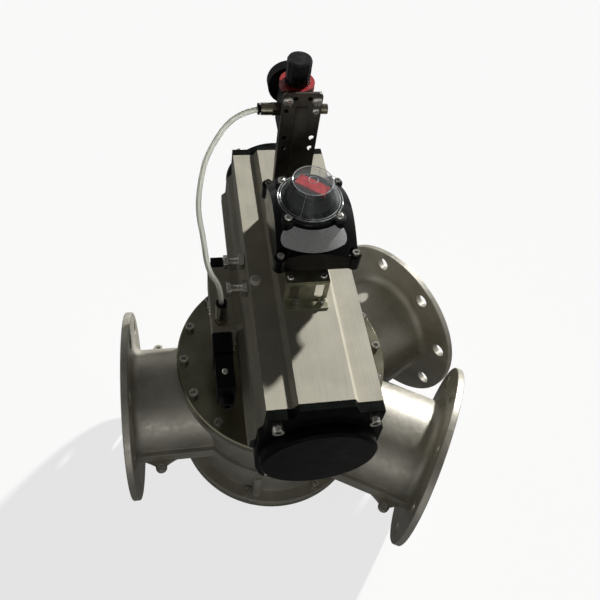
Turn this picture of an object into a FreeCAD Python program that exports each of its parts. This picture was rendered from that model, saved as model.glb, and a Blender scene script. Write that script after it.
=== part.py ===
import FreeCAD, Part
import math
import os

os.makedirs("parts", exist_ok=True)

# Plug diverter valve, sizes in millimetres.
# Origin: plug axis at the height of the port centrelines, inlet towards -X, +Z up.

# Ports
flange_radius = 142.5
flange_thickness = 10.0
flange_bolt_circle = 120.0
flange_hole_radius = 11.0
flange_holes = 8
neck_radius = 83.0
pipe_bore = 75.0
inlet_length = 225.0
outlet_length = 260.0
outlet_angle = 30.0
window_half_width = 57.0

# Housing
rotor_bore = 121.0
wall_radius = 132.0
rim_radius = 150.5
housing_bottom = -91.0
housing_top = 109.0
rim_thickness = 12.0
rail_top = 8.0
rail_bottom = -14.0
rail_half_width = 90.0
neck_fillet = 12.0
lug_reach = 101.0
lug_radius = 8.0
lug_height = 7.0
lug_half_length = 36.0
inlet_lug = 182.0
outlet_lug = 218.0
pillar_radius = 8.0
pillar_angle = 107.0
cover_screws = 16
cover_screw_circle = 140.0
base_screw_circle = 140.5
base_screw_angles = [0.0] + [67.5 + 45 * k for k in range(6)]

# Screw holes: clearance and core radii
m4_clear = 2.2
m4_core = 2.1
m5_clear = 2.7
m5_core = 2.6
m8_clear = 4.4
m8_core = 4.1
m10_clear = 5.4
m10_core = 5.1

# Mounting bracket
bracket_half = 60.0
bracket_wall = 8.0
bracket_roof = 10.0
bracket_low_circle = 62.5
bracket_high_circle = 51.0
bracket_hole = 12.0
bracket_hole_height = 147.0

# Plug
plug_radius = 120.7
plug_half_height = 88.0
bend_radius = 260.0
shaft_radius = 20.0
square_flats = 27.0
turn_range = 150.0
ring_heights = (-84.6, 81.4)

# Actuator
actuator_bottom = 174.0
actuator_half_length = 185.0
cylinder_radius = 58.0
cylinder_height = 254.0
strip_height = 334.0
panel_height = 342.0
gear_module = 2.5
gear_teeth = 16
pressure_angle = 20.0
gear_bottom = 240.0
gear_top = 268.0
rack_bottom = 242.0
rack_top = 266.0
cam_bottom = 309.0
cam_height = 12.0
cam_reach = 30.0
backlash = 0.3
stop_height = 315.0
stop_offset = 20.0
cap_base = 12.0
front_cap_length = 27.0
rear_cap_length = 44.0
cap_drum = 65.0
cap_bolt_x = 50.0
cap_bolt_heights = (322.0, 202.0)

# Position switch
foot_offset = -3.0
foot_half_width = 24.0
foot_slot = (10.0, 22.0)
foot_screw_x = 14.0
foot_screw_y = 66.0
plate_screw_x = 18.0
plate_screw_y = 52.0
plate_bottom = 372.0
box_bottom = 374.0
box_offset = 4.0
box_half_width = 43.0
box_half_length = 57.0
ear_radius = 6.5
ear_x = 39.5
ear_y = 53.0
ear_top = 409.0
lid_bottom = 400.0
seat_height = 434.0
seat_radius = 36.0
slope_height = 416.0
slope_radius = 58.0
dome_bottom = 436.0
dome_top = 464.5
dome_rim = 34.5
dome_foot = 31.5
dome_face = 21.2
dome_wall = 2.0
dome_screw_spot = 26.5
pointer_angle = -38.0
label_inner = 38.5
label_outer = 56.0
label_half_angle = 44.0
label_corner = 9.0
label_thickness = 0.8

# Pilot valve, against a pad on the actuator
valve_back = -77.0
valve_face = -104.0
valve_bottom = 232.0
valve_top = 278.0
valve_front = -54.0
valve_rear = 42.0
valve_screws = ((-21.0, 270.0), (11.0, 238.0))

# Air supply
supply_plate = 76.0
supply_x = -3.5
supply_half_width = 21.0
supply_top = 511.0
regulator_x = -6.0
regulator_y = 102.0
regulator_half_width = 16.0
regulator_port_height = 472.0
knob_radius = 13.0
knob_top = 533.5
gauge_x = -8.5
gauge_height = 482.0
gauge_radius = 23.0
valve_fitting_x = -93.0
valve_fitting_y = -40.0
valve_fitting_reach = 36.0
supply_fitting_reach = 20.0
collar_travel = 1.0
tube_diameter = 6.0
tube_points = [
    (-33, 102, 472),
    (-67, 102, 472),
    (-94, 86, 453),
    (-105, 65, 420),
    (-117, 43, 398),
    (-113, 13, 394),
    (-111, -16, 375),
    (-93, -40, 345),
    (-93, -40, 305),
]

X = FreeCAD.Vector(1, 0, 0)
Y = FreeCAD.Vector(0, 1, 0)
Z = FreeCAD.Vector(0, 0, 1)


def vec(x, y, z):
    return FreeCAD.Vector(x, y, z)


def cyl(radius, base, direction, length):
    return Part.makeCylinder(radius, length, base, direction)


def ring(outer, inner, base, direction, length):
    return cyl(outer, base, direction, length).cut(cyl(inner, base, direction, length))


def block(x0, x1, y0, y1, z0, z1):
    return Part.makeBox(x1 - x0, y1 - y0, z1 - z0, vec(x0, y0, z0))


def join(shapes):
    first = shapes[0]
    if len(shapes) == 1:
        return first
    return first.fuse(shapes[1:]).removeSplitter()


def turned(points):
    """Solid of revolution about Z from (radius, height) points."""
    outline = Part.makePolygon([vec(r, 0, z) for r, z in points + [points[0]]])
    return Part.Face(outline).revolve(vec(0, 0, 0), Z, 360)


def aimed(shape, direction, at):
    """Copy of a shape drawn along +Z, pointed along a direction and moved."""
    copy = shape.copy()
    copy.Placement = FreeCAD.Placement(at, FreeCAD.Rotation(Z, direction)).multiply(copy.Placement)
    return copy


def spun(shape, degrees):
    copy = shape.copy()
    copy.rotate(vec(0, 0, 0), Z, degrees)
    return copy


def polar(radius, degrees, z=0.0):
    a = math.radians(degrees)
    return vec(radius * math.cos(a), radius * math.sin(a), z)


def hexagon(flats, height, base_z):
    corners = [polar(flats / math.sqrt(3), 60 * k, base_z) for k in range(7)]
    return Part.Face(Part.makePolygon(corners)).extrude(vec(0, 0, height))


def socket_screw(size, length, head_height=None):
    """Socket head screw along +Z: shank below zero, head above."""
    tall = head_height or size
    head = cyl(0.75 * size, vec(0, 0, 0), Z, tall)
    shank = cyl(size / 2, vec(0, 0, -length), Z, length)
    return head.fuse(shank).cut(hexagon(0.75 * size, 0.5 * tall, 0.5 * tall))


def pan_screw(size, length):
    head = Part.makeCone(size, 0.75 * size, 0.6 * size)
    shank = cyl(size / 2, vec(0, 0, -length), Z, length)
    slot = block(-size * 0.6, size * 0.6, -0.35, 0.35, 0.3 * size, size)
    return head.fuse(shank).cut(slot)


def save(name, shape):
    shape.exportStep("parts/" + name + ".step")


# ports


def port_blank(length):
    """Neck and flange of one port, drawn along +Z from the plug axis."""
    back = length - flange_thickness
    fillet = neck_fillet
    mid = fillet * (1 - math.sqrt(0.5))
    edges = [
        Part.makeLine(vec(0, 0, 40), vec(neck_radius, 0, 40)),
        Part.makeLine(vec(neck_radius, 0, 40), vec(neck_radius, 0, back - fillet)),
        Part.Arc(
            vec(neck_radius, 0, back - fillet),
            vec(neck_radius + mid, 0, back - mid),
            vec(neck_radius + fillet, 0, back),
        ).toShape(),
        Part.makeLine(vec(neck_radius + fillet, 0, back), vec(flange_radius - 1, 0, back)),
        Part.makeLine(vec(flange_radius - 1, 0, back), vec(flange_radius, 0, back + 1)),
        Part.makeLine(vec(flange_radius, 0, back + 1), vec(flange_radius, 0, length - 1)),
        Part.makeLine(vec(flange_radius, 0, length - 1), vec(flange_radius - 1, 0, length)),
        Part.makeLine(vec(flange_radius - 1, 0, length), vec(0, 0, length)),
        Part.makeLine(vec(0, 0, length), vec(0, 0, 40)),
    ]
    return Part.Face(Part.Wire(edges)).revolve(vec(0, 0, 0), Z, 360)


def port_bore(length, start):
    """Round pipe bore narrowed by two flat walls towards the plug, along +X."""
    round_bore = cyl(pipe_bore, vec(start, 0, 0), X, length - start + 1)
    near = window_half_width
    far = pipe_bore + 1
    wedge = Part.Face(Part.makePolygon([
        vec(start - 1, -near, -100),
        vec(rotor_bore, -near, -100),
        vec(length - 25, -far, -100),
        vec(length + 2, -far, -100),
        vec(length + 2, far, -100),
        vec(length - 25, far, -100),
        vec(rotor_bore, near, -100),
        vec(start - 1, near, -100),
        vec(start - 1, -near, -100),
    ])).extrude(vec(0, 0, 200))
    return round_bore.common(wedge)


ports = [(180.0, inlet_length), (outlet_angle, outlet_length), (-outlet_angle, outlet_length)]
lug_spots = [(180.0, -1, inlet_lug), (180.0, 1, inlet_lug), (outlet_angle, 1, outlet_lug),
             (-outlet_angle, -1, outlet_lug)]


def lug(angle, side, along):
    """Pointed purge lug at the foot of a rail, with a concave flank each way."""
    root = rail_half_width - 4
    shoulder = lug_reach - 0.3 * lug_radius

    def at(offset, reach):
        return vec(along + offset, reach, 0)

    flank = lug_half_length / 2
    back = root - 20
    edges = [
        Part.Arc(
            at(-lug_half_length, root),
            at(-flank, rail_half_width + 2.5),
            at(-lug_radius, shoulder),
        ).toShape(),
        Part.Arc(
            at(-lug_radius, shoulder),
            at(0, lug_reach + lug_radius),
            at(lug_radius, shoulder),
        ).toShape(),
        Part.Arc(
            at(lug_radius, shoulder),
            at(flank, rail_half_width + 2.5),
            at(lug_half_length, root),
        ).toShape(),
        Part.makeLine(at(lug_half_length, root), at(lug_half_length, back)),
        Part.makeLine(at(lug_half_length, back), at(-lug_half_length, back)),
        Part.makeLine(at(-lug_half_length, back), at(-lug_half_length, root)),
    ]
    solid = Part.Face(Part.Wire(edges)).extrude(vec(0, 0, lug_height))
    solid = join([solid, cyl(lug_radius - 1.5, vec(along, lug_reach, 0), Z, lug_height + 1.5)])
    if side < 0:
        solid = solid.mirror(vec(0, 0, 0), Y)
    solid.translate(vec(0, 0, rail_bottom))
    return spun(solid, angle)


def lug_centre(angle, side, along):
    return spun(Part.Vertex(along, side * lug_reach, rail_bottom + lug_height + 1.5), angle).Point


# housing

solids = [
    cyl(wall_radius, vec(0, 0, housing_bottom), Z, housing_top - housing_bottom),
    cyl(rim_radius, vec(0, 0, housing_bottom), Z, rim_thickness),
    cyl(rim_radius, vec(0, 0, housing_top - rim_thickness), Z, rim_thickness),
    cyl(wall_radius + 6, vec(0, 0, rail_bottom), Z, rail_top - rail_bottom),
]
for angle, length in ports:
    solids.append(aimed(port_blank(length), polar(1, angle), vec(0, 0, 0)))
    rail = block(60, length - 5, -rail_half_width, rail_half_width, rail_bottom, rail_top)
    solids.append(spun(rail, angle))
for angle, side, along in lug_spots:
    solids.append(lug(angle, side, along))
for degrees in (-pillar_angle, pillar_angle):
    solids.append(cyl(pillar_radius, polar(wall_radius + 3, degrees, housing_bottom + 11), Z, 70))
housing = join(solids)

cuts = [cyl(rotor_bore, vec(0, 0, housing_bottom - 1), Z, housing_top - housing_bottom + 2)]
for angle, length in ports:
    cuts.append(spun(port_bore(length, 100), angle))
    for k in range(flange_holes):
        tilt = math.radians(22.5 + 360.0 / flange_holes * k)
        spot = vec(length - 40, flange_bolt_circle * math.sin(tilt), flange_bolt_circle * math.cos(tilt))
        cuts.append(spun(cyl(flange_hole_radius, spot, X, 60), angle))
for k in range(cover_screws):
    cuts.append(cyl(m8_core, polar(cover_screw_circle, 22.5 * k, housing_top - 22), Z, 24))
for degrees in base_screw_angles:
    cuts.append(cyl(m8_clear, polar(base_screw_circle, degrees, housing_bottom - 1), Z, rim_thickness + 2))
for spot in lug_spots:
    cuts.append(cyl(4.05, lug_centre(*spot), Z * -1, 7))
housing = housing.cut(cuts)
save("body", housing)

purge_plug = cyl(4, vec(0, 0, -6), Z, 6).cut(hexagon(4, 3, -3))
save("purge_plugs", Part.makeCompound([aimed(purge_plug, Z, lug_centre(*spot)) for spot in lug_spots]))

# covers

cover_top = housing_top + rim_thickness
hub_top = cover_top + 12
cover = turned([
    (0, housing_top - 17),
    (rotor_bore - 1.1, housing_top - 17),
    (rotor_bore - 0.1, housing_top - 16),
    (rotor_bore - 0.1, housing_top),
    (rim_radius, housing_top),
    (rim_radius, cover_top - 2),
    (rim_radius - 2, cover_top),
    (39, cover_top),
    (37, cover_top + 2),
    (37, hub_top - 1),
    (36, hub_top),
    (0, hub_top),
])
cover_cuts = [
    cyl(26, vec(0, 0, housing_top - 18), Z, 28),
    cyl(20.3, vec(0, 0, housing_top - 18), Z, 60),
    ring(rotor_bore + 2, rotor_bore - 3.4, vec(0, 0, 98), Z, 3.6),
]
for k in range(2):
    cover_cuts.append(ring(23.2, 20.3, vec(0, 0, 122.5 + 5 * k), Z, 3))
for k in range(cover_screws):
    cover_cuts.append(cyl(m8_clear, polar(cover_screw_circle, 22.5 * k, housing_top - 1), Z, 20))
for k in range(4):
    cover_cuts.append(cyl(m10_core, polar(bracket_low_circle, 45 + 90 * k, cover_top - 14), Z, 20))
cover = cover.cut(cover_cuts)
save("top_cover", cover)

screw = socket_screw(8, 26)
housing_screws = [
    aimed(screw, Z, polar(cover_screw_circle, 22.5 * k, cover_top)) for k in range(cover_screws)
]

base_bottom = housing_bottom - rim_thickness
base = turned([
    (0, housing_bottom),
    (rim_radius + 0.5, housing_bottom),
    (rim_radius + 0.5, base_bottom + 2),
    (rim_radius - 1.5, base_bottom),
    (40, base_bottom),
    (36, base_bottom - 16),
    (0, base_bottom - 16),
])
base_cuts = [cyl(24, vec(0, 0, base_bottom - 10), Z, 40)]
for degrees in base_screw_angles:
    base_cuts.append(cyl(m8_core, polar(base_screw_circle, degrees, base_bottom - 1), Z, 20))
base = base.cut(base_cuts)
save("bottom_cover", base)

screw = socket_screw(8, 20)
for degrees in base_screw_angles:
    head_seat = polar(base_screw_circle, degrees, housing_bottom + rim_thickness)
    housing_screws.append(aimed(screw, Z, head_seat))
save("cover_screws", Part.makeCompound(housing_screws))


# plug


def window(length, reach, flats, start):
    """Round tunnel trimmed by two flat sides, drawn along +X."""
    tunnel = cyl(reach, vec(start, 0, 0), X, length)
    return tunnel.common(block(start - 1, start + length + 1, -flats, flats, -100, 100))


def tunnel():
    """Tunnel from the inlet side to the outlet, bent by the outlet angle."""
    half = math.radians(outlet_angle / 2)
    tangent = bend_radius * math.tan(half)
    profile = window(1, pipe_bore, window_half_width, 0)
    face = [f for f in profile.Faces if abs(f.CenterOfMass.x) < 1e-6][0]
    entry = face.copy()
    entry.translate(vec(-rotor_bore - 10, 0, 0))
    run_in = entry.extrude(vec(rotor_bore + 10 - tangent, 0, 0))
    bend = face.copy()
    bend.translate(vec(-tangent, 0, 0))
    bend = bend.revolve(vec(-tangent, bend_radius, 0), Z, outlet_angle)
    run_out = window(rotor_bore + 10 - tangent, pipe_bore, window_half_width, tangent)
    return join([run_in, bend, spun(run_out, outlet_angle)])


def frame(angle):
    """Window seal lying in the plug surface around one tunnel mouth."""
    shell = ring(rotor_bore - 0.05, plug_radius - 3, vec(0, 0, -86), Z, 172)
    outer = window(80, pipe_bore + 4.2, window_half_width + 4, 60)
    inner = window(90, pipe_bore + 1.2, window_half_width + 1, 55)
    return spun(shell.common(outer.cut(inner)), angle)


plug = turned([
    (0, -112),
    (shaft_radius - 1, -112),
    (shaft_radius, -111),
    (shaft_radius, -plug_half_height),
    (plug_radius - 1, -plug_half_height),
    (plug_radius, -plug_half_height + 1),
    (plug_radius, plug_half_height - 1),
    (plug_radius - 1, plug_half_height),
    (shaft_radius, plug_half_height),
    (shaft_radius, 165),
    (0, 165),
])
square = block(-square_flats / 2, square_flats / 2, -square_flats / 2, square_flats / 2, 164, 192)
plug = join([plug, square])
frames = [frame(180), frame(outlet_angle)]
plug_cuts = [tunnel()] + frames
for z in ring_heights:
    plug_cuts.append(ring(plug_radius + 2, plug_radius - 3.2, vec(0, 0, z), Z, 3.2))
plug = plug.cut(plug_cuts)
save("plug", plug)
save("window_seals", Part.makeCompound(frames))
save("plug_rings", Part.makeCompound([
    ring(rotor_bore - 0.05, plug_radius - 3.1, vec(0, 0, z + 0.1), Z, 3.0) for z in ring_heights
]))
save("plug_bushes", Part.makeCompound([
    ring(25.95, shaft_radius + 0.06, vec(0, 0, housing_top - 17), Z, 26.8),
    ring(23.95, shaft_radius + 0.06, vec(0, 0, base_bottom - 9.8), Z, 21.8),
]))
save("thrust_washer", ring(34, shaft_radius + 0.3, vec(0, 0, housing_bottom), Z, 2.95))
save("seal_rings", Part.makeCompound(
    [ring(rotor_bore - 0.05, rotor_bore - 3.3, vec(0, 0, 98.2), Z, 3.2)]
    + [ring(23.1, shaft_radius + 0.1, vec(0, 0, 122.6 + 5 * k), Z, 2.8) for k in range(2)]
))

# mounting bracket

reach = bracket_half
inside = bracket_half - bracket_wall
bracket = join([
    block(-reach, reach, -reach, reach, cover_top, cover_top + bracket_wall),
    block(-reach, -inside, -reach, reach, cover_top, actuator_bottom),
    block(inside, reach, -reach, reach, cover_top, actuator_bottom),
    block(-reach, reach, -reach, reach, actuator_bottom - bracket_roof, actuator_bottom),
])
bracket_cuts = [
    cyl(39, vec(0, 0, cover_top - 1), Z, 12),
    cyl(32, vec(0, 0, actuator_bottom - 12), Z, 14),
]
low_spots = [polar(bracket_low_circle, 45 + 90 * k, cover_top) for k in range(4)]
high_spots = [polar(bracket_high_circle, 45 + 90 * k, actuator_bottom) for k in range(4)]
for spot in low_spots:
    bracket_cuts.append(cyl(m10_clear, spot - Z, Z, 10))
for spot in high_spots:
    bracket_cuts.append(cyl(m10_clear, spot - Z * 12, Z, 14))
for side in (-1, 1):
    bracket_cuts.append(cyl(bracket_hole, vec(side * 62 - 10, 0, bracket_hole_height), X, 20))
bracket = bracket.cut(bracket_cuts)
save("mount_bracket", bracket)
save("bracket_screws", Part.makeCompound(
    [aimed(socket_screw(10, 20), Z, spot + Z * bracket_wall) for spot in low_spots]
    + [aimed(socket_screw(10, 24), Z * -1, spot - Z * bracket_roof) for spot in high_spots]
))

# actuator housing

half_profile = [
    (29, panel_height),
    (34, strip_height),
    (60.7, strip_height),
    (61.5, 300),
    (67, 294),
    (68, 268),
    (75, 261),
    (75, 247),
    (68, 240),
    (67, 214),
    (61.5, 208),
    (60.7, 190),
    (50, actuator_bottom),
]
profile = half_profile + [(-x, z) for x, z in reversed(half_profile)]


def slab(points, y0, y1):
    outline = Part.makePolygon([vec(x, y0, z) for x, z in points + [points[0]]])
    return Part.Face(outline).extrude(vec(0, y1 - y0, 0))


extrusion = slab(profile, -actuator_half_length, actuator_half_length)
valve_pad = block(-77, -60, -46, 36, 233, 277)
extrusion = join([extrusion, valve_pad])
holes = [
    cyl(cylinder_radius, vec(0, -200, cylinder_height), Y, 400),
    cyl(24, vec(0, 0, actuator_bottom - 1), Z, 40),
    cyl(22, vec(0, 0, 290), Z, 60),
    cyl(34, vec(0, 0, 290), Z, 32),
]
for y in (-stop_offset, stop_offset):
    holes.append(cyl(5.05, vec(-80, y, stop_height), X, 70))
for side in (-1, 1):
    for z in cap_bolt_heights:
        for end in (-1, 1):
            mouth = vec(cap_bolt_x * side, end * (actuator_half_length - 22), z)
            holes.append(cyl(m8_core, mouth, Y * end, 30))
    for y in (-foot_screw_y, foot_screw_y):
        holes.append(cyl(m5_core, vec(foot_screw_x * side, y, panel_height - 12), Z, 20))
for k in range(4):
    holes.append(cyl(m10_core, polar(bracket_high_circle, 45 + 90 * k, actuator_bottom - 1), Z, 16))
for y in (-12, 12):
    holes.append(cyl(4, vec(-80, y, cylinder_height), X, 40))
for y, z in valve_screws:
    holes.append(cyl(2.6, vec(-80, y, z), X, 16))
# side grooves of the extrusion
for side in (-1, 1):
    for z in (284, 224):
        holes.append(block(side * 68 - 2.5, side * 68 + 2.5, -200, 200, z - 1.5, z + 1.5))
extrusion = extrusion.cut(holes)
save("actuator_body", extrusion)

# pinion and pistons

pitch_radius = gear_module * gear_teeth / 2
base_radius = pitch_radius * math.cos(math.radians(pressure_angle))
tip_radius = pitch_radius + 0.9 * gear_module
root_radius = pitch_radius - 1.16 * gear_module
tooth_pitch = math.pi * gear_module
tooth_thickness = tooth_pitch / 2 - backlash


def involute(angle):
    return math.tan(angle) - angle


def tooth_half_angle(radius):
    """Half the tooth angle, seen from the pinion axis, at a radius."""
    at_pitch = tooth_thickness / 2 / pitch_radius
    alpha = math.acos(min(1.0, base_radius / radius))
    return at_pitch + involute(math.radians(pressure_angle)) - involute(alpha)


def pinion_gear(z0, z1):
    edges = []
    radii = [base_radius + (tip_radius - base_radius) * k / 3 for k in range(4)]
    step = 2 * math.pi / gear_teeth

    def at(radius, angle):
        return vec(radius * math.cos(angle), radius * math.sin(angle), z0)

    for k in range(gear_teeth):
        centre = step * k
        rising = [at(r, centre - tooth_half_angle(r)) for r in radii]
        falling = [at(r, centre + tooth_half_angle(r)) for r in reversed(radii)]
        foot = tooth_half_angle(base_radius)
        start = at(root_radius, centre - foot)
        finish = at(root_radius, centre + foot)
        left = Part.BSplineCurve()
        left.interpolate(rising)
        right = Part.BSplineCurve()
        right.interpolate(falling)
        edges.append(Part.makeLine(start, rising[0]))
        edges.append(left.toShape())
        edges.append(Part.makeLine(rising[-1], falling[0]))
        edges.append(right.toShape())
        edges.append(Part.makeLine(falling[-1], finish))
        edges.append(Part.makeLine(finish, at(root_radius, centre + step - foot)))
    return Part.Face(Part.Wire(edges)).extrude(vec(0, 0, z1 - z0))


cam_start = -turn_range / 2 - 60
lobe = Part.makeCylinder(cam_reach, cam_height, vec(0, 0, cam_bottom), Z, 120)
lobe = spun(lobe, cam_start)
pinion = join([
    cyl(21.9, vec(0, 0, actuator_bottom + 0.5), Z, 25.5),
    cyl(16, vec(0, 0, 195), Z, 115),
    pinion_gear(gear_bottom, gear_top),
    cyl(17.5, vec(0, 0, cam_bottom), Z, cam_height),
    lobe,
    cyl(15, vec(0, 0, 320), Z, 22),
    cyl(13, vec(0, 0, 340), Z, 24),
])
socket = square_flats / 2 + 0.1
pinion = pinion.cut([
    block(-socket, socket, -socket, socket, 170, 195),
    block(-20, 20, -2, 2, 360, 370),
])
save("pinion", pinion)
save("pinion_bearings", Part.makeCompound([
    ring(23.95, 21.96, vec(0, 0, actuator_bottom + 0.5), Z, 24),
    ring(21.95, 15.06, vec(0, 0, 322.2), Z, 19.6),
]))


def rack_piston():
    """Front piston at rest: disc towards -Y, rack on the +X side of the pinion."""
    disc = cyl(cylinder_radius - 0.1, vec(0, -144, cylinder_height), Y, 24)
    back_edge = 43.0
    tip = 12.0
    rail = block(pitch_radius + 1.16 * gear_module, back_edge, -121, tip, rack_bottom, rack_top)
    teeth = []
    slope = math.tan(math.radians(pressure_angle))
    half = tooth_thickness / 2
    outer = half - 0.9 * gear_module * slope
    inner = half + 1.26 * gear_module * slope
    for k in range(-8, 1):
        mid = tooth_pitch * (k + 0.5)
        outline = Part.makePolygon([
            vec(pitch_radius - 0.9 * gear_module, mid - outer, rack_bottom),
            vec(pitch_radius - 0.9 * gear_module, mid + outer, rack_bottom),
            vec(pitch_radius + 1.26 * gear_module, mid + inner, rack_bottom),
            vec(pitch_radius + 1.26 * gear_module, mid - inner, rack_bottom),
            vec(pitch_radius - 0.9 * gear_module, mid - outer, rack_bottom),
        ])
        teeth.append(Part.Face(outline).extrude(vec(0, 0, rack_top - rack_bottom)))
    piston = join([disc, rail] + teeth)
    groove = ring(cylinder_radius + 1, cylinder_radius - 3.5, vec(0, -135, cylinder_height), Y, 4)
    band = ring(cylinder_radius + 1, cylinder_radius - 2.1, vec(0, -128, cylinder_height), Y, 5)
    hollow = cyl(34, vec(0, -145, cylinder_height), Y, 12)
    return piston.cut([groove, band, hollow])


def piston_rings():
    seal = ring(cylinder_radius - 0.04, cylinder_radius - 3.4, vec(0, -134.9, cylinder_height), Y, 3.8)
    guide = ring(cylinder_radius - 0.04, cylinder_radius - 2.0, vec(0, -127.9, cylinder_height), Y, 4.8)
    return Part.makeCompound([seal, guide])


piston = rack_piston()
rings = piston_rings()
save("front_piston", piston)
save("rear_piston", spun(piston, 180))
save("front_piston_rings", rings)
save("rear_piston_rings", spun(rings, 180))

# actuator end caps

cap_half = [
    (29, panel_height - 0.5),
    (34, strip_height - 0.5),
    (60.4, strip_height - 0.5),
    (61.5, 300),
    (66.5, 293),
    (68.5, cylinder_height),
    (66.5, 215),
    (60.4, 190),
    (50, actuator_bottom + 0.5),
]
cap_profile = cap_half + [(-x, z) for x, z in reversed(cap_half)]


def end_cap(length):
    """End cap facing -Y: a plate on the extrusion's outline and a hollow drum."""
    plate_face = -actuator_half_length - cap_base
    tip = -actuator_half_length - length
    shape = join([
        slab(cap_profile, plate_face, -actuator_half_length - 1),
        cyl(cap_drum, vec(0, tip + 3, cylinder_height), Y, length - 9),
        Part.makeCone(cap_drum - 3, cap_drum, 3, vec(0, tip, cylinder_height), Y),
    ])
    cuts = [cyl(55, vec(0, tip + 6, cylinder_height), Y, length)]
    for side in (-1, 1):
        for z in cap_bolt_heights:
            cuts.append(cyl(m8_clear, vec(cap_bolt_x * side, -230, z), Y, 60))
    cuts.append(Part.Face(Part.makePolygon([
        vec(-80, plate_face - 1, 350),
        vec(-80, plate_face - 1, 330),
        vec(-80, -actuator_half_length - 4, 350),
        vec(-80, plate_face - 1, 350),
    ])).extrude(vec(160, 0, 0)))
    return shape.cut(cuts)


save("front_cap", end_cap(front_cap_length))
save("rear_cap", spun(end_cap(rear_cap_length), 180))
gasket_profile = [(0.98 * x, 0.98 * (z - cylinder_height) + cylinder_height) for x, z in profile]
gasket = slab(gasket_profile, -actuator_half_length - 1, -actuator_half_length)
gasket_cuts = [cyl(56.5, vec(0, -200, cylinder_height), Y, 40)]
for side in (-1, 1):
    for z in cap_bolt_heights:
        gasket_cuts.append(cyl(m8_clear, vec(cap_bolt_x * side, -230, z), Y, 60))
gasket = gasket.cut(gasket_cuts)
save("cap_gaskets", Part.makeCompound([gasket, spun(gasket, 180)]))
cap_bolts = []
for side in (-1, 1):
    for z in cap_bolt_heights:
        seat = vec(cap_bolt_x * side, -actuator_half_length - cap_base, z)
        bolt = aimed(socket_screw(8, 30), Y * -1, seat)
        cap_bolts.append(bolt)
        cap_bolts.append(spun(bolt, 180))
save("cap_screws", Part.makeCompound(cap_bolts))


def stop_bolt(y):
    """Travel stop: hexagon head outside, ball tip facing the cam."""
    head = aimed(hexagon(15, 5, 0), X, vec(-86, y, stop_height))
    shank = cyl(5, vec(-81.5, y, stop_height), X, 54.2)
    ball = Part.makeSphere(5, vec(-27.3, y, stop_height))
    return join([head, shank, ball])


save("stop_bolt_front", stop_bolt(-stop_offset))
save("stop_bolt_rear", stop_bolt(stop_offset))
nuts = []
for y in (-stop_offset, stop_offset):
    nut = aimed(hexagon(17, 6.5, 0), X, vec(-68.5, y, stop_height))
    nuts.append(nut.cut(cyl(5.05, vec(-70, y, stop_height), X, 12)))
save("stop_nuts", Part.makeCompound(nuts))
save("port_plug", join([
    cyl(6.2, vec(-54, -25, strip_height), Z, 3.5),
    Part.makeCone(6.2, 4.2, 1.8, vec(-54, -25, strip_height + 3.5), Z),
]))

# solenoid valve

valve = join([
    block(valve_face, valve_back, valve_front, valve_rear, valve_bottom, valve_top),
    block(valve_face + 4, valve_back - 3, valve_front - 2, valve_rear + 2, valve_bottom + 4, valve_top - 4),
])
valve_cuts = [
    cyl(5, vec(valve_fitting_x, valve_fitting_y, 262), Z, 20),
    cyl(5, vec(-112, 6, 266), X, 20),
    cyl(5, vec(-112, -22, 244), X, 20),
    cyl(5, vec(-112, 22, 244), X, 20),
]
for y, z in valve_screws:
    valve_cuts.append(cyl(m5_clear, vec(-120, y, z), X, 60))
    valve_cuts.append(cyl(4.8, vec(-106, y, z), X, 5))
valve = valve.cut(valve_cuts)
save("valve_body", valve)
small_screws = [
    aimed(socket_screw(5, 34), X * -1, vec(-101, y, z)) for y, z in valve_screws
]
save("pilot_cap", join([
    block(-99, -83, 44, 62, 238, 273),
    cyl(7, vec(-91, 60, 256), Y, 5),
]).cut(cyl(3.1, vec(-91, 52, 268), Z, 10)))
save("override_button", join([
    cyl(3.0, vec(-91, 52, 269.5), Z, 5.5),
]).cut(block(-93, -89, 51.6, 52.4, 274, 276)))
save("coil", join([
    block(-105, -82, -81, -56, 236, 278),
    cyl(9, vec(-93.5, -84, 257), Y, 5),
]))
connector = join([
    block(-104, -83, -127, -84, 240, 276),
    Part.makeCone(8.5, 7, 12, vec(-93.5, -127, 254), Y * -1),
])
connector = connector.cut([
    cyl(3.4, vec(-93.5, -139.5, 254), Y, 12),
    cyl(2.1, vec(-93.5, -106, 262), Z, 20),
])
save("connector", connector)
pan_screws = [aimed(pan_screw(4, 10), Z, vec(-93.5, -106, 276))]


def push_fitting(hex_flats, reach, barrel):
    """Push-in tube fitting along +Z from its seat, without the release collar."""
    body = join([
        cyl(4.8, vec(0, 0, -8), Z, 9),
        hexagon(hex_flats, 8, 0),
        cyl(barrel, vec(0, 0, 8), Z, reach - 8),
    ])
    return body.cut(cyl(tube_diameter / 2 + 1.2, vec(0, 0, reach - 9), Z, 10))


def collar(reach):
    """Release collar, held out of its fitting by its travel."""
    lift = collar_travel + 0.4
    outer = turned([(3.1, -6), (4.1, -6), (4.1, lift), (6.2, lift), (6.2, lift + 2), (3.1, lift + 2)])
    outer.translate(vec(0, 0, reach))
    return outer


valve_seat = vec(valve_fitting_x, valve_fitting_y, valve_top)
supply_seat = vec(regulator_x - regulator_half_width, regulator_y, regulator_port_height)
save("push_fittings", Part.makeCompound([
    aimed(push_fitting(13, valve_fitting_reach, 6.6), Z, valve_seat),
    aimed(push_fitting(13, supply_fitting_reach, 6.6), X * -1, supply_seat),
]))
save("valve_collar", aimed(collar(valve_fitting_reach), Z, valve_seat))
save("supply_collar", aimed(collar(supply_fitting_reach), X * -1, supply_seat))

# position switch


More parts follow.
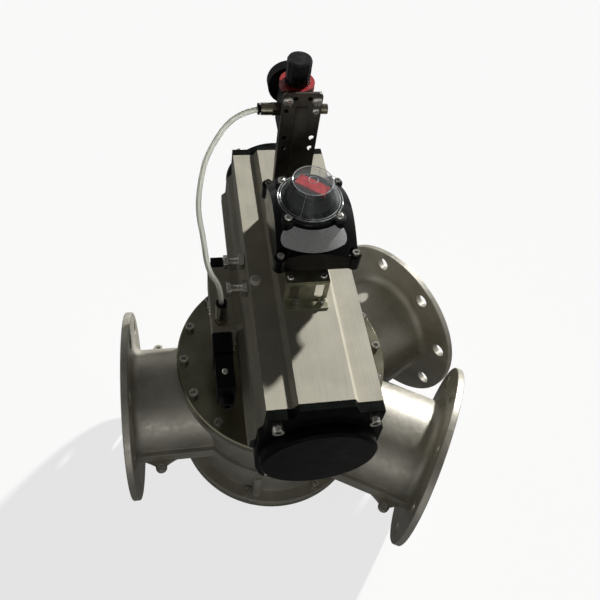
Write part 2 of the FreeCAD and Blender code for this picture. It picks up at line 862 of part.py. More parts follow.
def switch_foot():
    """Folded foot: base flange, upright with two slots, top flange."""
    left = foot_offset - foot_half_width
    right = foot_offset + foot_half_width
    foot = join([
        block(left, right, -74, -58.5, panel_height, panel_height + 2),
        block(left, right, -60.5, -58.5, panel_height, plate_bottom),
        block(left, right, -60.5, -38, plate_bottom - 2, plate_bottom),
    ])
    wide, tall = foot_slot
    slot_bottom = panel_height + 5
    cuts = []
    for side in (-1, 1):
        middle = foot_offset + 14 * side
        cuts.append(cyl(m5_clear, vec(foot_screw_x * side, -foot_screw_y, panel_height - 1), Z, 5))
        top_hole = vec(foot_offset + plate_screw_x * side, -plate_screw_y, plate_bottom - 3)
        cuts.append(cyl(m4_clear, top_hole, Z, 5))
        cuts.append(block(middle - wide / 2, middle + wide / 2, -62, -57, slot_bottom, slot_bottom + tall))
    return foot.cut(cuts)


foot = switch_foot()
save("switch_feet", Part.makeCompound([foot, foot.mirror(vec(0, 0, 0), Y)]))
top_plate = block(
    foot_offset - foot_half_width,
    foot_offset + foot_half_width,
    -60,
    60,
    plate_bottom,
    box_bottom,
)
plate_cuts = [cyl(17, vec(0, 0, plate_bottom - 1), Z, 4)]
plate_screws = [
    (foot_offset + plate_screw_x * side, plate_screw_y * end) for side in (-1, 1) for end in (-1, 1)
]
for x, y in plate_screws:
    plate_cuts.append(cyl(m4_clear, vec(x, y, plate_bottom - 1), Z, 5))
    pan_screws.append(aimed(pan_screw(4, 5), Z, vec(x, y, box_bottom)))
save("switch_plate", top_plate.cut(plate_cuts))
for side in (-1, 1):
    near = vec(foot_screw_x * side, -foot_screw_y, panel_height + 2)
    far = vec(foot_screw_x * side, foot_screw_y, panel_height + 4)
    small_screws.append(aimed(socket_screw(5, 10), Z, near))
    small_screws.append(aimed(socket_screw(5, 12), Z, far))


def rounded_block(x, y, z0, z1, radius):
    shape = block(-x, x, -y, y, z0, z1)
    upright = [e for e in shape.Edges if abs(e.tangentAt(e.FirstParameter).z) > 0.9]
    return shape.makeFillet(radius, upright)


def box_block(half_x, half_y, z0, z1, radius):
    """Rounded block centred on the switch box."""
    shape = rounded_block(half_x, half_y, z0, z1, radius)
    shape.translate(vec(box_offset, 0, 0))
    return shape


ear_spots = [(box_offset + x, y) for x in (-ear_x, ear_x) for y in (-ear_y, ear_y)]
skirt_bottom = 391.0
base_ears = [cyl(ear_radius, vec(x, y, skirt_bottom), Z, lid_bottom - skirt_bottom) for x, y in ear_spots]
switch_base = join([
    box_block(41, 44, box_bottom, lid_bottom - 2, 8),
    box_block(box_half_width, box_half_length, skirt_bottom, lid_bottom, 5),
] + base_ears)
base_cuts = [
    box_block(37, 40, box_bottom + 4, lid_bottom + 10, 6),
    cyl(6.1, vec(0, 0, box_bottom - 4), Z, 20),
]
for x, y in ear_spots:
    base_cuts.append(cyl(2.6, vec(x, y, 388), Z, 14))
for x, y in plate_screws:
    base_cuts.append(cyl(4.5, vec(x, y, box_bottom - 1), Z, 5))
switch_base = switch_base.cut(base_cuts)
save("switch_base", switch_base)

# cone that carries the label, from the dome's seat down over the box
slope = (slope_radius - seat_radius) / (seat_height - slope_height)


def slope_at(radius):
    return seat_height - (radius - seat_radius) / slope


def cone_shell(lift, top_radius, low_radius):
    """Solid under the sloping face, raised by a lift measured along Z."""
    return turned([
        (0, lid_bottom),
        (low_radius, lid_bottom),
        (low_radius, slope_at(low_radius) + lift),
        (top_radius, slope_at(top_radius) + lift),
        (0, slope_at(top_radius) + lift),
    ])


hood = cone_shell(0, seat_radius, 74).common(
    box_block(box_half_width, box_half_length, lid_bottom, seat_height + 5, 5)
)
ears = [cyl(ear_radius, vec(x, y, lid_bottom), Z, ear_top - lid_bottom) for x, y in ear_spots]
seat = turned([(0, slope_height), (seat_radius, slope_height), (seat_radius, seat_height - 1),
               (dome_rim, dome_bottom), (0, dome_bottom)])
dome_spots = [(x, y) for x in (-dome_screw_spot, dome_screw_spot) for y in (-dome_screw_spot, dome_screw_spot)]
seat_ears = [cyl(7, vec(x, y, 424), Z, dome_bottom - 424) for x, y in dome_spots]
lid = join([hood, seat] + ears + seat_ears)
lid_cuts = [box_block(37, 40, lid_bottom - 1, lid_bottom + 6, 6), cyl(29, vec(0, 0, lid_bottom + 4), Z, 40)]
for x, y in ear_spots:
    lid_cuts.append(cyl(ear_radius + 0.5, vec(x, y, ear_top), Z, 20))
    lid_cuts.append(cyl(2.8, vec(x, y, lid_bottom - 2), Z, 20))
    small_screws.append(aimed(socket_screw(5, 18, 4), Z, vec(x, y, ear_top)))
for x, y in dome_spots:
    lid_cuts.append(cyl(1.75, vec(x, y, 428), Z, 12))
save("switch_lid", lid.cut(lid_cuts))
save("small_screws", Part.makeCompound(small_screws))

sector = Part.makeCylinder(70, 60, vec(0, 0, 390), Z, 2 * label_half_angle)
sector = spun(sector, -90 - label_half_angle)
label_plan = ring(label_outer, label_inner, vec(0, 0, 390), Z, 60).common(sector)
upright_edges = [e for e in label_plan.Edges if abs(e.tangentAt(e.FirstParameter).z) > 0.9]
outer_corners = [
    e for e in upright_edges if math.hypot(e.CenterOfMass.x, e.CenterOfMass.y) > label_outer - 1
]
label_plan = label_plan.makeFillet(label_corner, outer_corners)
label = cone_shell(label_thickness, label_inner - 1, label_outer + 4)
label = label.cut(cone_shell(0, label_inner - 2, label_outer + 5)).common(label_plan)
for x, y in dome_spots:
    label = label.cut(cyl(7.6, vec(x, y, 390), Z, 60))
for x, y in ear_spots:
    label = label.cut(cyl(7.8, vec(x, y, 390), Z, 60))
save("label_plate", label)

flange_top = dome_bottom + 4
dome = turned([
    (0, dome_bottom),
    (dome_rim, dome_bottom),
    (dome_rim, flange_top),
    (dome_foot, flange_top),
    (dome_face, dome_top - 1),
    (dome_face - 1, dome_top),
    (0, dome_top),
])
dome = join([dome] + [cyl(7, vec(x, y, dome_bottom), Z, 4) for x, y in dome_spots])
hollow = turned([
    (0, dome_bottom - 1),
    (dome_foot - dome_wall, dome_bottom - 1),
    (dome_foot - dome_wall, flange_top),
    (dome_face - dome_wall, dome_top - dome_wall),
    (0, dome_top - dome_wall),
])
gate_mark = ring(5.2, 4.4, vec(0, 0, dome_top - 0.5), Z, 1)
dome = dome.cut([hollow] + [cyl(1.9, vec(x, y, dome_bottom - 6), Z, 12) for x, y in dome_spots])
save("switch_dome", join([dome, gate_mark]))
save("dome_screws", Part.makeCompound(
    [aimed(pan_screw(3.4, 7), Z, vec(x, y, flange_top)) for x, y in dome_spots]
))

spindle = join([
    block(-9, 9, -1.9, 1.9, 360.2, 364.5),
    cyl(10, vec(0, 0, 364.3), Z, 7),
    cyl(6, vec(0, 0, 370), Z, 72),
])
save("switch_spindle", spindle)
cams = []
for k in range(2):
    level = 386 + 9 * k
    nose = spun(block(0, 15.5, -4, 4, level, level + 7), 60 - turn_range * k)
    cam = join([cyl(12, vec(0, 0, level), Z, 7), nose])
    cams.append(cam.cut(cyl(6.02, vec(0, 0, 380), Z, 40)))
save("switch_cams", Part.makeCompound(cams))
switches = []
for side in (-1, 1):
    switches.append(block(side * 27 - 5, side * 27 + 5, -14, 14, 378, 402))
save("micro_switches", Part.makeCompound(switches))
skirt = turned([(6.05, 440.5), (25, 440.5), (19, 452), (6.05, 452)])
disc = cyl(18.4, vec(0, 0, 452), Z, 3)
arrow = spun(block(-17, 17, -7, 7, 454.5, 458.5), pointer_angle)
indicator = join([skirt, disc, arrow]).cut(cyl(6.02, vec(0, 0, 435), Z, 8.2))
save("indicator", indicator)

# air supply

supply_left = supply_x - supply_half_width
supply_right = supply_x + supply_half_width
foot_bottom = panel_height + 2
upright = block(supply_left, supply_right, supply_plate, supply_plate + 2, foot_bottom, supply_top)
top_corners = [
    e for e in upright.Edges
    if abs(e.tangentAt(e.FirstParameter).y) > 0.9 and e.CenterOfMass.z > supply_top - 1
]
supply = join([
    upright.makeFillet(5, top_corners),
    block(supply_left, supply_right, 60.7, supply_plate + 2, foot_bottom, foot_bottom + 2),
    block(supply_left, supply_left + 2, supply_plate, supply_plate + 9, foot_bottom, 436),
    block(supply_right - 2, supply_right, supply_plate, supply_plate + 9, foot_bottom, 436),
    block(supply_x - 6, supply_x + 6, supply_plate - 2, supply_plate, 360, 494),
])
supply_cuts = []


def supply_hole(radius, offset, z):
    supply_cuts.append(cyl(radius, vec(supply_x + offset, supply_plate - 5, z), Y, 10))


regulator_screws = [(-15, 501), (15, 501), (15, 489)]
for side in (-1, 1):
    supply_cuts.append(cyl(m5_clear, vec(foot_screw_x * side, foot_screw_y, foot_bottom - 2), Z, 6))
    for z in (440, 454):
        supply_hole(3, 15 * side, z)
    supply_hole(2.5, 7.5 * side, 504)
supply_hole(2.5, -16, 489)
for offset, z in regulator_screws:
    supply_hole(m4_clear, offset, z)
supply = supply.cut(supply_cuts)
save("supply_plate", supply)

body_left = regulator_x - regulator_half_width
body_right = regulator_x + regulator_half_width
body_top = 496.0
regulator = join([
    block(body_left, body_right, supply_plate + 6, regulator_y + 18, 446, body_top),
    block(supply_left + 1, supply_right - 1, supply_plate + 2, supply_plate + 7, 484, supply_top - 3),
    cyl(15, vec(regulator_x, regulator_y, 440), Z, 8),
])
regulator_cuts = [
    cyl(5.2, vec(body_left - 10, regulator_y, regulator_port_height), X, 18),
    cyl(5.2, vec(body_right - 8, regulator_y, regulator_port_height), X, 18),
    cyl(3.6, vec(gauge_x, regulator_y + 8, gauge_height), Y, 20),
    block(-40, 30, regulator_y - 18.7, regulator_y + 18.7, body_top, 530),
]
for offset, z in regulator_screws:
    seat = vec(supply_x + offset, supply_plate, z)
    regulator_cuts.append(cyl(m4_core, seat, Y, 11))
    pan_screws.append(aimed(pan_screw(4, 10), Y * -1, seat))
regulator = regulator.cut(regulator_cuts)
save("regulator_body", regulator)
save("pan_screws", Part.makeCompound(pan_screws))
save("bonnet", join([
    cyl(15.8, vec(regulator_x, regulator_y, body_top), Z, 4),
    cyl(10.4, vec(regulator_x, regulator_y, body_top), Z, 22),
]))
save("lock_ring", ring(18.5, knob_radius + 0.3, vec(regulator_x, regulator_y, body_top + 4.3), Z, 7))
knob_bottom = body_top + 8.5
knob = join([
    cyl(knob_radius, vec(regulator_x, regulator_y, knob_bottom), Z, knob_top - 2 - knob_bottom),
    Part.makeCone(knob_radius, knob_radius - 1.2, 2, vec(regulator_x, regulator_y, knob_top - 2), Z),
])
knob_cuts = [cyl(10.7, vec(regulator_x, regulator_y, body_top + 4), Z, 19)]
for k in range(12):
    rib = vec(regulator_x, regulator_y, knob_bottom + 4) + polar(knob_radius + 0.8, 30 * k)
    knob_cuts.append(cyl(1.6, rib, Z, 50))
save("knob", knob.cut(knob_cuts))
bowl = turned([(0, 384), (9, 384), (13, 388), (15, 396), (15, 440), (0, 440)])
bowl.translate(vec(regulator_x, regulator_y, 0))
drain = cyl(4, vec(regulator_x, regulator_y, 376), Z, 9)
save("bowl", join([bowl, drain]))

gauge_centre = vec(gauge_x, regulator_y + 26, gauge_height)
case = join([
    cyl(gauge_radius, gauge_centre, Y, 13),
    cyl(6.5, vec(gauge_x, regulator_y + 18, gauge_height), Y, 9),
    cyl(3.5, vec(gauge_x, regulator_y + 12, gauge_height), Y, 10),
])
case = case.cut(cyl(gauge_radius - 2, gauge_centre + vec(0, 4, 0), Y, 12))
save("gauge_case", case)
needle = block(-1, 1, -4, gauge_radius - 7.5, 0, 0.8).fuse(cyl(2.6, vec(0, 0, 0), Z, 1.6))
needle.rotate(vec(0, 0, 0), Z, -45)
save("gauge_needle", aimed(needle, Y, gauge_centre + vec(0, 5.6, 0)))
save("gauge_glass", cyl(gauge_radius - 2.1, gauge_centre + vec(0, 10.5, 0), Y, 2))

save("supply_plug", aimed(join([
    cyl(5.1, vec(0, 0, -7), Z, 8),
    hexagon(14, 11, 0),
    cyl(5.5, vec(0, 0, 10), Z, 11),
]), X, vec(body_right, regulator_y, regulator_port_height)))


def bent_tube(points, diameter):
    """Tube along straight runs joined by tangent arcs."""
    nodes = [vec(*p) for p in points]
    edges = []
    here = nodes[0]
    for before, corner, after in zip(nodes, nodes[1:], nodes[2:]):
        come = (corner - before).normalize()
        leave = (after - corner).normalize()
        turn = come.getAngle(leave)
        setback = 0.45 * min((corner - before).Length, (after - corner).Length)
        start = corner - come * setback
        finish = corner + leave * setback
        radius = setback / math.tan(turn / 2)
        inward = (leave - come).normalize()
        sagitta = radius * (1 / math.cos(turn / 2) - 1)
        middle = corner + inward * sagitta
        edges.append(Part.makeLine(here, start))
        edges.append(Part.Arc(start, middle, finish).toShape())
        print("bend radius", round(radius, 1))
        here = finish
    edges.append(Part.makeLine(here, nodes[-1]))
    path = Part.Wire(edges)
    section = Part.Wire(Part.makeCircle(diameter / 2, nodes[0], nodes[1] - nodes[0]))
    tube = path.makePipeShell([section], True, True)
    print("tube length", round(path.Length, 1), "volume", round(tube.Volume), "expected",
          round(path.Length * math.pi * diameter ** 2 / 4))
    return tube


save("air_tube", bent_tube(tube_points, tube_diameter))
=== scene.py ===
import math

import bmesh
import bpy
from mathutils import Matrix, Vector


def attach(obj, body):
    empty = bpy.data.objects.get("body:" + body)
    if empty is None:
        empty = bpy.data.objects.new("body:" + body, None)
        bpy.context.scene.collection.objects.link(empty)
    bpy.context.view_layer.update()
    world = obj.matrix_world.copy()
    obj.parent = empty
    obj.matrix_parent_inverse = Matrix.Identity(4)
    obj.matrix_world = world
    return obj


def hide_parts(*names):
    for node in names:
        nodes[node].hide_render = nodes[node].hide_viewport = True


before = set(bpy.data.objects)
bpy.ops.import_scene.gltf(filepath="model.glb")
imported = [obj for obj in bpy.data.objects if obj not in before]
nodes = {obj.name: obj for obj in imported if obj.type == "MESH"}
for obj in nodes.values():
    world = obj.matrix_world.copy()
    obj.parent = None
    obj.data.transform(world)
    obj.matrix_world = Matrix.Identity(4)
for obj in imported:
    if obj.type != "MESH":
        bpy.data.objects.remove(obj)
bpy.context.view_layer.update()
mm = 0.001


# shared helpers

def linearColour(code):
    channels = [int(code[i:i + 2], 16) / 255 for i in (1, 3, 5)]   # sRGB hex such as "#8a8780"
    return [c / 12.92 if c <= 0.04045 else ((c + 0.055) / 1.055) ** 2.4 for c in channels] + [1]


def addNode(tree, kind, inputs=None, **settings):
    node = tree.nodes.new(kind)
    for key, value in settings.items():
        setattr(node, key, value)
    for key, value in (inputs or {}).items():
        if isinstance(value, bpy.types.NodeSocket):
            tree.links.new(value, node.inputs[key])
        else:
            node.inputs[key].default_value = value
    return node


def emptyTree(owner):
    owner.use_nodes = True
    owner.node_tree.nodes.clear()
    return owner.node_tree


def placeObject(name, data):
    holder = bpy.data.objects.new(name, data)
    bpy.context.scene.collection.objects.link(holder)
    return holder


def fromAngles(azimuth, elevation):
    # degrees from +X seen from above, and degrees above the floor
    around, above = math.radians(azimuth), math.radians(elevation)
    return Vector((math.cos(around) * math.cos(above), math.sin(around) * math.cos(above),
                   math.sin(above)))


# finishes: what each one is made of stands in its own settings, further down

usualSpan = (0.3, 0.7)             # where most of a noise pattern's values lie


def addPattern(tree, place, pattern):
    if "ringMm" in pattern:        # lathe marks; a wave repeats twenty times in one unit
        return addNode(tree, "ShaderNodeTexWave", {
            "Vector": place, "Scale": 0.05 / (pattern["ringMm"] * mm),
            "Distortion": pattern["wander"], "Detail": pattern["detail"],
        }, wave_type="RINGS", rings_direction="Z").outputs["Fac"]
    if "facing" in pattern:        # from face-on to edge-on
        return addNode(tree, "ShaderNodeLayerWeight", {
            "Blend": pattern["facing"],
        }).outputs["Facing"]
    if "below" in pattern:         # 1 under this height in metres, and 0 over it
        height = addNode(tree, "ShaderNodeSeparateXYZ", {"Vector": place}).outputs["Z"]
        return addNode(tree, "ShaderNodeMath", {0: height, 1: pattern["below"]},
                       operation="LESS_THAN").outputs["Value"]
    if "stretch" in pattern:       # draws lines along the axis with the small number
        place = addNode(tree, "ShaderNodeMapping", {
            "Vector": place, "Scale": pattern["stretch"],
        }).outputs["Vector"]
    return addNode(tree, "ShaderNodeTexNoise", {
        "Vector": place, "Scale": 1 / (pattern["sizeMm"] * mm),
        "Detail": pattern.get("detail", 2.0),
    }).outputs["Fac"]


def makeFinish(name, finish):
    material = bpy.data.materials.new(name)
    tree = emptyTree(material)
    place = addNode(tree, "ShaderNodeTexCoord").outputs["Object"]
    patterns = {key: addPattern(tree, place, found) for key, found in finish["patterns"].items()}

    # each tone lies over the ones before it, where its pattern is high
    colour = linearColour(finish["colour"])
    for tone in finish.get("tones", ()):
        start, end = tone.get("span", usualSpan)
        share = addNode(tree, "ShaderNodeMapRange", {
            "Value": patterns[tone["by"]], "From Min": start, "From Max": end,
            "To Min": 0.0, "To Max": tone.get("amount", 1.0),
        }).outputs["Result"]
        colour = addNode(tree, "ShaderNodeMix", {
            "Factor": share, 6: colour, 7: linearColour(tone["colour"]),
        }, data_type="RGBA").outputs[2]
    inputs = {"Base Color": colour}

    for socket, change in finish.get("changes", {}).items():
        start, end = change.get("span", usualSpan)
        inputs[socket] = addNode(tree, "ShaderNodeMapRange", {
            "Value": patterns[change["by"]], "From Min": start, "From Max": end,
            "To Min": change["low"], "To Max": change["high"],
        }).outputs["Result"]

    if "relief" in finish:
        relief = finish["relief"]
        rounded = addNode(tree, "ShaderNodeBevel", {"Radius": relief["edgeMm"] * mm}, samples=4)
        inputs["Normal"] = addNode(tree, "ShaderNodeBump", {
            "Height": patterns[relief["by"]], "Distance": relief["depthMm"] * mm, "Strength": 1.0,
            "Normal": rounded.outputs["Normal"],       # softens the model's sharp edges
        }).outputs["Normal"]

    shader = addNode(tree, "ShaderNodeBsdfPrincipled", inputs)
    for socket, value in finish["shader"].items():
        shader.inputs[socket].default_value = value    # under a link, what a plain viewer shows
    addNode(tree, "ShaderNodeOutputMaterial", {"Surface": shader.outputs["BSDF"]})
    return material


# camera

camera = {
    "azimuth": -107.78,            # degrees from +X, seen from above
    "elevation": 53.8,
    "roll": 11.22,
    "distance": 0.99402,           # metres
    "across": 0.03986,
    "up": 0.14888,
    "lens": 37.06,                 # mm
    "sensor": 36.0,
    "farthest": 20.0,
}


def makeCamera():
    around, roll = math.radians(camera["azimuth"]), math.radians(camera["roll"])
    back = fromAngles(camera["azimuth"], camera["elevation"])
    level = Vector((-math.sin(around), math.cos(around), 0))
    upright = back.cross(level)
    right = math.cos(roll) * level + math.sin(roll) * upright
    up = back.cross(right)
    place = back * camera["distance"] + right * camera["across"] + up * camera["up"]
    data = bpy.data.cameras.new("camera")
    data.lens = camera["lens"]
    data.sensor_width = camera["sensor"]
    data.clip_end = camera["farthest"]
    holder = placeObject("camera", data)
    turn = Matrix((right, up, back)).transposed().to_4x4()
    holder.matrix_world = Matrix.Translation(place) @ turn
    bpy.context.scene.camera = holder


makeCamera()
print("camera placed")


# air tube

airTube = {
    "route": [                     # mm, from the regulator's fitting to the pilot valve's
        (-33, 102, 472), (-67, 102, 472), (-101, 82, 429.5), (-110.5, 56, 406.5),
        (-114.5, 24.5, 398.5), (-110.5, -6.5, 390.5), (-108, -35, 370), (-93, -40, 345),
        (-93, -40, 305),
    ],
    "outside": 6.0,
    "length": 0.286,               # metres
    "stepsAlong": 24,
    "stepsRound": 8,
}

# extruded polyurethane tube: milky, semi-clear, smooth
polyurethane = {
    "patterns": {"cloud": {"sizeMm": 10}},
    "colour": "#e2e3d8",
    "tones": [{"by": "cloud", "colour": "#f3f4ea"}],
    "changes": {"Roughness": {"by": "cloud", "low": 0.4, "high": 0.55}},
    "shader": {
        "Roughness": 0.45, "Transmission Weight": 0.8, "Coat Weight": 0.4,
        "Subsurface Weight": 0.7, "Subsurface Radius": (0.006, 0.006, 0.0052),
    },
}


def makeAirTube():
    points = [Vector(p) * mm for p in airTube["route"]]
    curve = bpy.data.curves.new("airTube", "CURVE")
    curve.dimensions = "3D"
    curve.resolution_u = airTube["stepsAlong"]
    curve.bevel_depth = airTube["outside"] / 2 * mm
    curve.bevel_resolution = airTube["stepsRound"]
    curve.use_fill_caps = True
    curve.materials.append(makeFinish("polyurethane", polyurethane))
    line = curve.splines.new("NURBS")
    line.points.add(len(points) - 1)
    for spot, point in zip(line.points, points):
        spot.co = (*point, 1)
    line.order_u = 3
    line.use_endpoint_u = True
    tube = placeObject("airTube", curve)
    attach(tube, "valve")
    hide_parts("air_tube")


makeAirTube()
print("air tube laid")


# finishes of the solids and of the detail pieces; real grit and spark texture are 0.2 mm,
# brushed lines 0.1 mm and lathe rings 0.3 mm, and all are drawn coarse enough to show

